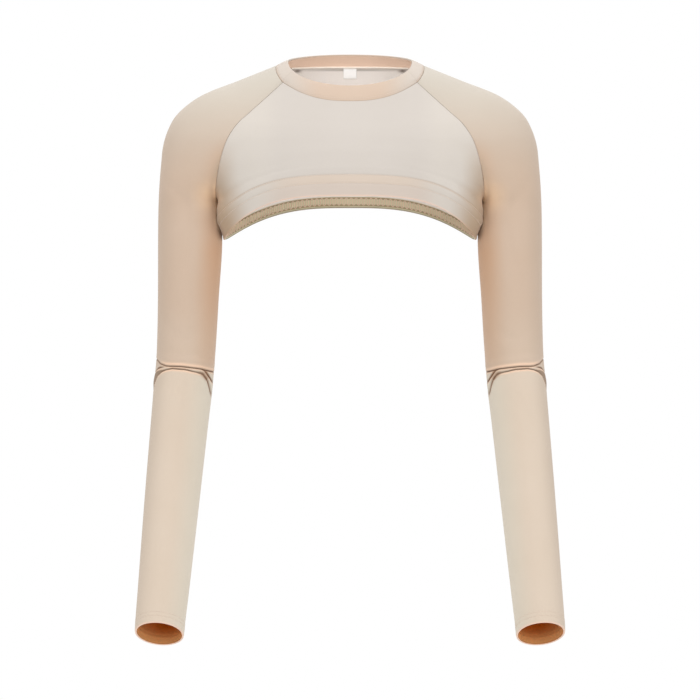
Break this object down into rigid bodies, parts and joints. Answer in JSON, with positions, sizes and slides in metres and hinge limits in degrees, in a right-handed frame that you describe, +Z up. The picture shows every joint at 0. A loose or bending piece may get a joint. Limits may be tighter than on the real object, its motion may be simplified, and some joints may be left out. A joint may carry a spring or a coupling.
{
  "type": "arm sleeve shrug",
  "caption": "Pair of long raglan arm sleeves joined by a cropped front and back panel and a round neck band, in worn form with bent elbows.",
  "frame": {"origin": "middle of the neck opening at the height of the neck seam's sides, where the garment hangs round the wearer's neck", "axes": "+Z up, -Y the wearer's front, +X the wearer's left"},
  "size_m": [0.4604, 0.2581, 0.6605],
  "materials": {
    "panel_knit": "fine smooth jersey knit, pale beige, soft sheen",
    "sleeve_knit": "fine smooth jersey knit, beige, soft sheen",
    "band_knit": "folded jersey band, peach beige, matt",
    "label_tape": "white woven tape, blank"
  },
  "bodies": {
    "root": {"front_panel": "panel_knit", "back_panel": "panel_knit", "neck_band": "band_knit", "neck_label": "label_tape", "left_sleeve": "sleeve_knit", "right_sleeve": "sleeve_knit"}
  },
  "joints": []
}
